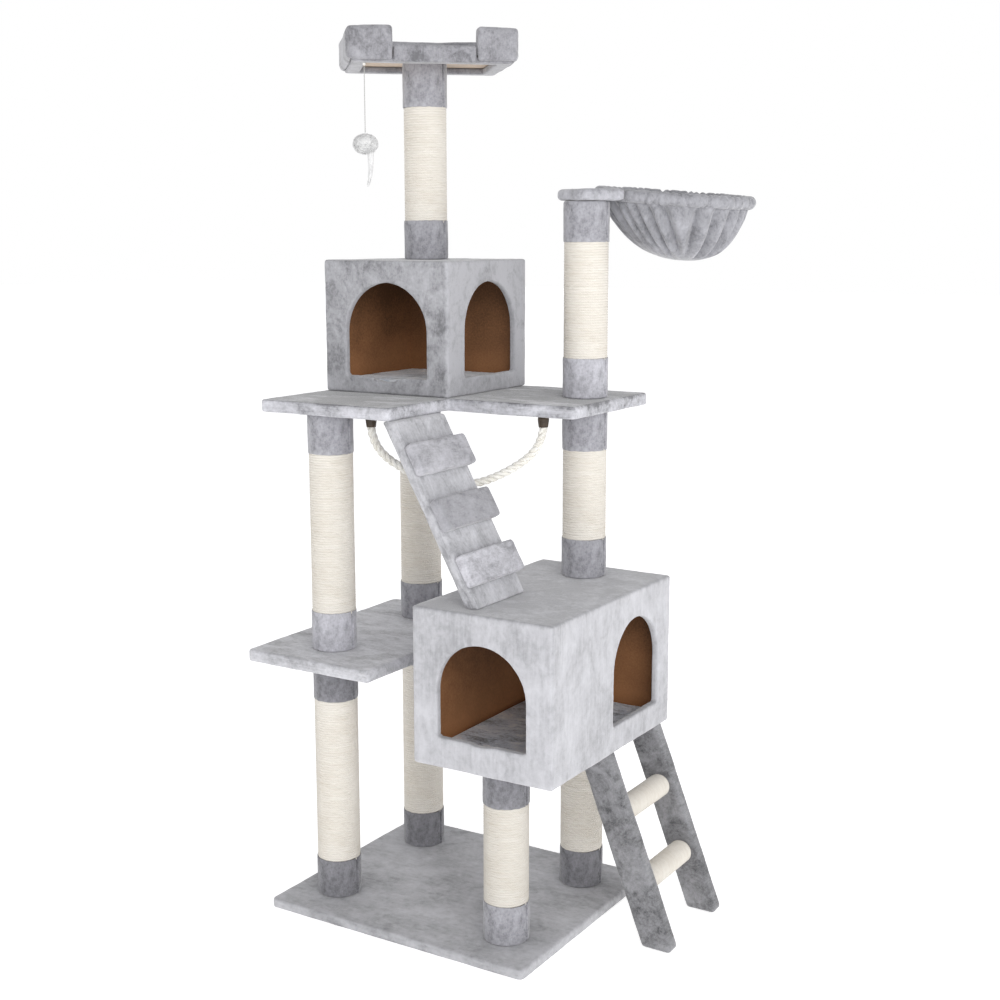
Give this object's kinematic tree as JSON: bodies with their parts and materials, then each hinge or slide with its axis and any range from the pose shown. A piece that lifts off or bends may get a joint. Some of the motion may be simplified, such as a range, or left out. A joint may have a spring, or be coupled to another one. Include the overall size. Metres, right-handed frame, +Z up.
{
  "type": "cat tree",
  "caption": "Tall free-standing cat tree with sisal posts, plush platforms, two houses, ramp, ladder, hammock, perch, swing rope and hanging toy.",
  "frame": {"origin": "centre of the base's underside, on the floor", "axes": "+Z up; +X towards the side the ladder leans out to; +Y towards the back, away from the front arches; -Z is the outward normal of the base's underside"},
  "size_m": [0.8232, 0.7192, 1.674],
  "materials": {
    "plush": "short light grey crushed plush",
    "plush_wrapped": "solid wood covered in light grey plush",
    "padding": "foam padding covered in light grey plush",
    "sisal": "natural sisal rope wound tightly",
    "fibreboard": "brown fibreboard, bare",
    "particle_board": "pale particle board, bare",
    "cardboard": "spiral-wound cardboard tube",
    "steel": "zinc-plated steel",
    "rope": "off-white three-strand cotton rope",
    "cap": "dark brown moulded cap",
    "fur": "white faux fur and cotton string"
  },
  "bodies": {
    "frame": {"base_board": "particle_board", "base_cover": "plush", "shelf_board": "particle_board", "shelf_cover": "plush", "platform_board": "particle_board", "platform_cover": "plush", "front_left_post_tubes": "cardboard", "front_left_post_sisal": "sisal", "front_left_post_collars": "padding", "back_left_post_tubes": "cardboard", "back_left_post_sisal": "sisal", "back_left_post_collars": "padding", "front_right_post_tube": "cardboard", "front_right_post_sisal": "sisal", "front_right_post_collars": "padding", "back_right_post_tubes": "cardboard", "back_right_post_sisal": "sisal", "back_right_post_collars": "padding", "perch_post_tube": "cardboard", "perch_post_sisal": "sisal", "perch_post_collars": "padding", "post_end_plugs": "particle_board", "post_bolts": "steel", "wood_screws": "steel", "lower_house_floor": "fibreboard", "lower_house_roof": "fibreboard", "lower_house_front": "fibreboard", "lower_house_back": "fibreboard", "lower_house_left": "fibreboard", "lower_house_right": "fibreboard", "lower_house_cover": "plush", "lower_house_mat": "plush", "upper_house_floor": "fibreboard", "upper_house_roof": "fibreboard", "upper_house_front": "fibreboard", "upper_house_back": "fibreboard", "upper_house_left": "fibreboard", "upper_house_right": "fibreboard", "upper_house_cover": "plush", "upper_house_mat": "plush", "ramp_board": "particle_board", "ramp_cover": "plush", "ramp_steps": "plush_wrapped", "ladder_rail_front": "plush_wrapped", "ladder_rail_back": "plush_wrapped", "ladder_rung_dowels": "particle_board", "ladder_rung_sisal": "sisal", "perch_board": "particle_board", "perch_frame": "plush_wrapped", "perch_bolster": "padding", "perch_mat": "plush", "hammock_board": "plush_wrapped", "hammock_hoop": "steel", "hammock_rim": "padding", "hammock_bag": "plush"},
    "rope": {"swing_rope": "rope", "rope_caps": "cap"},
    "toy_loop": {"toy_knot": "fur"},
    "toy_line": {"toy_string": "fur"},
    "toy": {"toy_ball": "fur"}
  },
  "joints": [
    {"name": "rope_swing", "type": "hinge", "parent": "frame", "child": "rope", "pos_m": [-0.12, -0.114, 0.955], "axis": [0.8624, 0.5062, 0], "range_deg": [-2, 30]},
    {"name": "toy_swing_to_post", "type": "hinge", "parent": "frame", "child": "toy_loop", "pos_m": [-0.18632, -0.02908, 1.6045], "axis": [0.9853, -0.1708, 0], "range_deg": [-35, 20]},
    {"name": "toy_swing_across", "type": "hinge", "parent": "toy_loop", "child": "toy_line", "pos_m": [-0.18632, -0.02908, 1.6045], "axis": [0.1708, 0.9853, 0], "range_deg": [-35, 35]},
    {"name": "toy_ball_tilt", "type": "hinge", "parent": "toy_line", "child": "toy", "pos_m": [-0.18632, -0.02908, 1.4812], "axis": [0.9853, -0.1708, 0], "range_deg": [-30, 10]}
  ]
}
